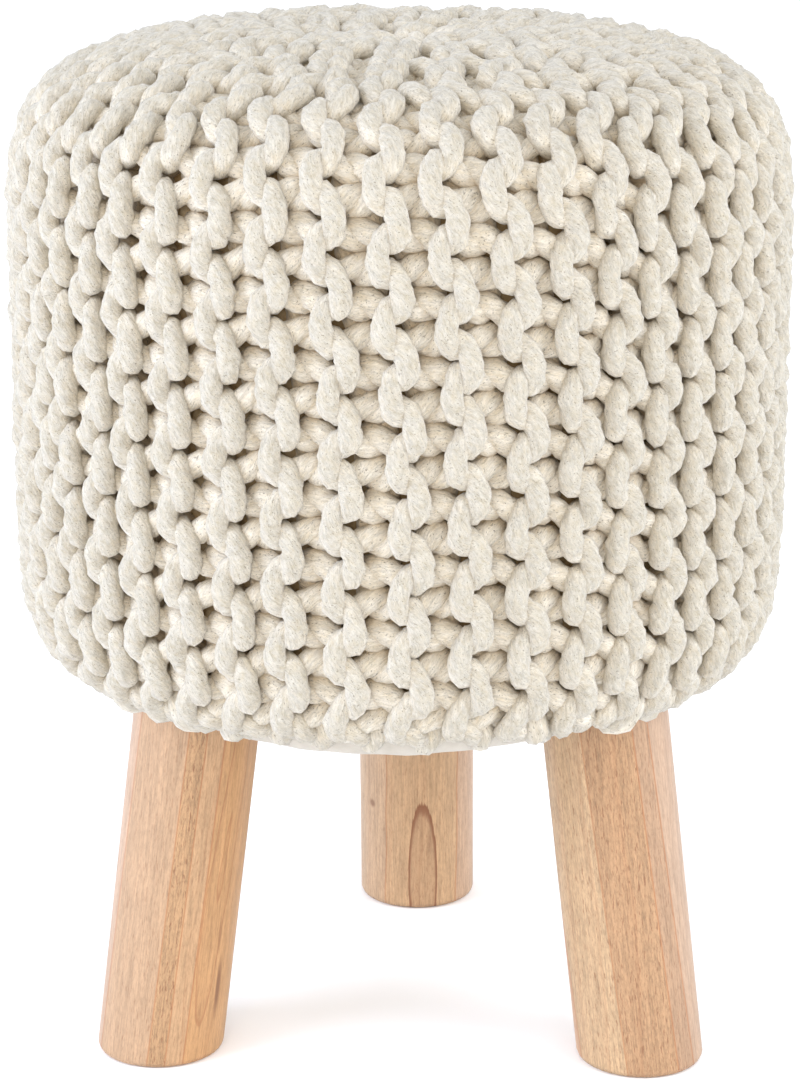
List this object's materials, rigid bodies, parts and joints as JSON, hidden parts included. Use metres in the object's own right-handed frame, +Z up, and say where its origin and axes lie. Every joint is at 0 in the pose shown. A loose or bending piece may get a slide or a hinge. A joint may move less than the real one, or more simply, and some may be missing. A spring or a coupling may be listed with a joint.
{
  "type": "knitted pouf stool with wooden legs",
  "caption": "Round pouf stool: a padded drum seat in a chunky knitted rope cover with ridges running down it, a plain base cloth, and splayed round wooden legs.",
  "frame": {"origin": "on the floor, under the middle of the round seat", "axes": "+Z up; +Y points from the middle to the leg at the back; +X points to the right, seen from the front"},
  "size_m": [0.3496, 0.3496, 0.4596],
  "materials": {
    "knit_cotton": "soft off-white cotton rope with small dark flecks, knitted in ridges",
    "base_cotton": "plain off-white woven cotton",
    "leg_wood": "light oiled wood, laminated from strips, satin"
  },
  "bodies": {
    "root": {"knit_cover": "knit_cotton", "base_cloth": "base_cotton", "leg_back": "leg_wood", "leg_left": "leg_wood", "leg_right": "leg_wood"}
  },
  "joints": []
}
